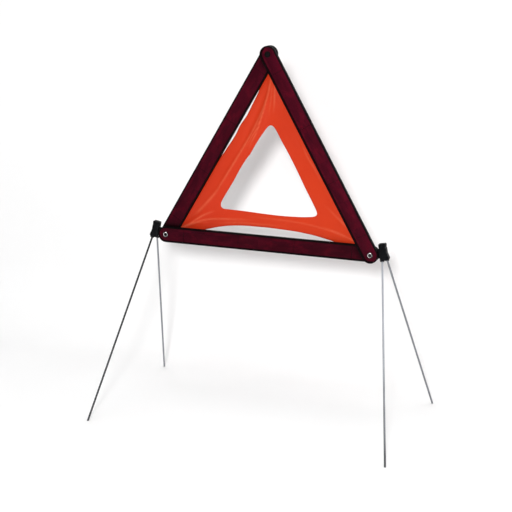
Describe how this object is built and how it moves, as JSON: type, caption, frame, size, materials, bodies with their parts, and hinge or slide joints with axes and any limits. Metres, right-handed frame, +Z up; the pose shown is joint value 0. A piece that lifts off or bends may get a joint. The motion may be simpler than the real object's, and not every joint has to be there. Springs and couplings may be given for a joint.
{
  "type": "folding warning triangle",
  "caption": "Folding warning triangle: reflector bars around a fluorescent film with a triangular window, standing on hinged wire legs.",
  "frame": {"origin": "on the ground plane, midway between the two lower rivets", "axes": "+X to the right seen from the reflecting side, +Y to the rear, +Z up; the reflecting side faces -Y"},
  "size_m": [0.5886, 0.3536, 0.6985],
  "materials": {
    "housing": "satin",
    "reflector": "gloss",
    "rivet_steel": "polished",
    "eyelet_metal": "satin",
    "dark_plastic": "satin",
    "film": "gloss",
    "bracket_plastic": "satin",
    "leg_wire": "satin"
  },
  "bodies": {
    "frame": {"base_housing": "housing", "base_lens": "reflector", "left_rivet": "rivet_steel", "right_rivet": "rivet_steel", "left_film_eyelet": "eyelet_metal", "right_film_eyelet": "eyelet_metal", "warning_film": "film"},
    "left_arm": {"left_arm_housing": "housing", "left_arm_lens": "reflector", "apex_snap_bush": "dark_plastic", "apex_film_eyelet": "eyelet_metal"},
    "right_arm": {"right_arm_housing": "housing", "right_arm_lens": "reflector", "apex_stud": "dark_plastic"},
    "left_bracket": {"left_leg_bracket": "bracket_plastic", "left_leg_pin": "rivet_steel"},
    "right_bracket": {"right_leg_bracket": "bracket_plastic", "right_leg_pin": "rivet_steel"},
    "left_front_leg": {"left_front_leg": "leg_wire"},
    "left_rear_leg": {"left_rear_leg": "leg_wire"},
    "right_front_leg": {"right_front_leg": "leg_wire"},
    "right_rear_leg": {"right_rear_leg": "leg_wire"}
  },
  "joints": [
    {"name": "left_arm_fold", "type": "hinge", "parent": "frame", "child": "left_arm", "pos_m": [-0.2025, 0.0098, 0.3325], "axis": [0, 0.9999, 0.014], "range_deg": [0, 60], "deforming": ["warning_film"]},
    {"name": "right_arm_fold", "type": "hinge", "parent": "frame", "child": "right_arm", "pos_m": [0.2025, -0.0098, 0.3325], "axis": [0, -0.9999, 0.014], "range_deg": [0, 60]},
    {"name": "left_bracket_swing", "type": "hinge", "parent": "frame", "child": "left_bracket", "pos_m": [-0.2025, 0.0049, 0.3325], "axis": [0, -1, 0], "range_deg": [0, 100.5]},
    {"name": "right_bracket_swing", "type": "hinge", "parent": "frame", "child": "right_bracket", "pos_m": [0.2025, -0.0049, 0.3325], "axis": [0, 1, 0], "range_deg": [0, 100.5]},
    {"name": "left_front_leg_splay", "type": "hinge", "parent": "left_bracket", "child": "left_front_leg", "pos_m": [-0.23148, 0.0049, 0.32923], "axis": [0.9833, 0, -0.1822], "range_deg": [0, 27]},
    {"name": "left_rear_leg_splay", "type": "hinge", "parent": "left_bracket", "child": "left_rear_leg", "pos_m": [-0.22381, 0.0049, 0.32781], "axis": [-0.9833, 0, 0.1822], "range_deg": [0, 27]},
    {"name": "right_rear_leg_splay", "type": "hinge", "parent": "right_bracket", "child": "right_rear_leg", "pos_m": [0.23148, -0.0049, 0.32923], "axis": [-0.9833, 0, -0.1822], "range_deg": [0, 27]},
    {"name": "right_front_leg_splay", "type": "hinge", "parent": "right_bracket", "child": "right_front_leg", "pos_m": [0.22381, -0.0049, 0.32781], "axis": [0.9833, 0, 0.1822], "range_deg": [0, 27]}
  ]
}
